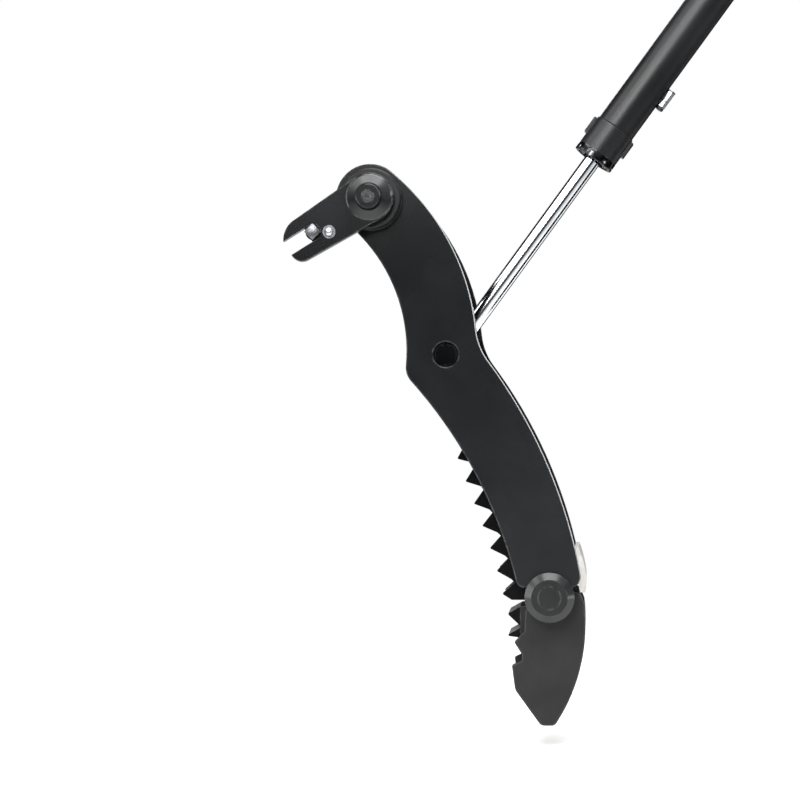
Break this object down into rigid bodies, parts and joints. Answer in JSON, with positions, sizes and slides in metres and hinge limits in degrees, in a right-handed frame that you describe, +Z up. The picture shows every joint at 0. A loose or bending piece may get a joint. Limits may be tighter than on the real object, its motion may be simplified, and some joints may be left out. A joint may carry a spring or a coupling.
{
  "type": "hydraulic thumb",
  "caption": "Hooked excavator thumb arm with toothed front, slotted flag plate, hinged tip and a hydraulic cylinder that swings it.",
  "frame": {"origin": "middle of the main pivot pin, halfway between the side plates", "axes": "+X away from the bucket, +Y along the pins from the near side plate to the far one, +Z up"},
  "size_m": [1.1825, 0.376, 1.9333],
  "materials": {
    "black_paint": "satin black paint",
    "tip_paint": "satin black paint, slightly worn",
    "worn_steel": "steel polished by wear",
    "cylinder_paint": "gloss black paint",
    "bolt_steel": "dark oxide",
    "bright_steel": "bright zinc plate",
    "pin_steel": "dark phosphate, greased",
    "chrome_rod": "polished hard chrome",
    "bronze": "bearing bronze",
    "steel_inside": "machined",
    "seal_rubber": "matt",
    "wear_plastic": "filled plastic"
  },
  "bodies": {
    "stick_side": {"pivot_pin": "pin_steel", "pin_grease_nipple": "bright_steel", "flag_plate": "black_paint", "flag_weld_collar": "black_paint", "slot_keeper_block": "black_paint", "slot_square_bolt": "bolt_steel", "flag_bolt_washer": "bolt_steel", "flag_dome_bolt": "bright_steel", "pin_end_plate": "black_paint", "pin_end_bolt": "bolt_steel"},
    "arm": {"side_plate_near": "black_paint", "side_plate_far": "black_paint", "pivot_boss_near": "black_paint", "pivot_boss_far": "black_paint", "pivot_bush_near": "bronze", "pivot_bush_far": "bronze", "tooth_plate_near": "black_paint", "tooth_plate_far": "black_paint", "rod_pin_boss_near": "black_paint", "rod_pin_boss_far": "black_paint", "tip_pin_cap_near": "black_paint", "tip_pin_cap_far": "black_paint", "front_web": "black_paint", "lower_diaphragm": "black_paint", "tip_stop_plate": "worn_steel", "rod_pin": "pin_steel", "rod_pin_sleeves": "black_paint", "rod_pin_snap_rings": "bolt_steel", "tip_pin": "pin_steel"},
    "tip": {"tip_plate_near": "tip_paint", "tip_plate_far": "tip_paint", "tip_bush_near": "bronze", "tip_bush_far": "bronze", "tip_hub": "tip_paint", "tip_face_web": "tip_paint", "tip_tooth_bars": "tip_paint", "tip_back_web": "tip_paint", "tip_centre_rib": "tip_paint"},
    "rod": {"rod_eye": "black_paint", "rod_eye_bush": "bronze", "rod_eye_nipple": "bright_steel", "piston_rod": "chrome_rod", "piston": "steel_inside", "piston_seal": "seal_rubber", "piston_wear_rings": "wear_plastic", "piston_nut": "steel_inside"},
    "barrel": {"gland_head": "cylinder_paint", "gland_screws": "bolt_steel", "gland_o_ring": "seal_rubber", "rod_wiper": "seal_rubber", "rod_seal": "seal_rubber", "rod_bearing": "wear_plastic", "barrel_tube": "cylinder_paint", "port_bosses": "cylinder_paint", "port_fittings": "bright_steel", "port_caps": "cylinder_paint", "base_cap": "cylinder_paint", "base_eye": "cylinder_paint", "base_bush": "bronze"}
  },
  "joints": [
    {"name": "arm_swing", "type": "hinge", "parent": "stick_side", "child": "arm", "pos_m": [0, 0, 0], "axis": [0, -1, 0], "range_deg": [-7, 80]},
    {"name": "tip_swing", "type": "hinge", "parent": "arm", "child": "tip", "pos_m": [0.393, 0, -0.878], "axis": [0, -1, 0], "range_deg": [-6, 6]},
    {"name": "cylinder_pivot", "type": "hinge", "parent": "arm", "child": "rod", "pos_m": [0.165, 0, -0.344], "axis": [0, -1, 0], "range_deg": [-87, 6]},
    {"name": "rod_slide", "type": "slide", "parent": "rod", "child": "barrel", "axis": [0.5906, 0, 0.807], "range_m": [-0.474, 0.04]}
  ]
}
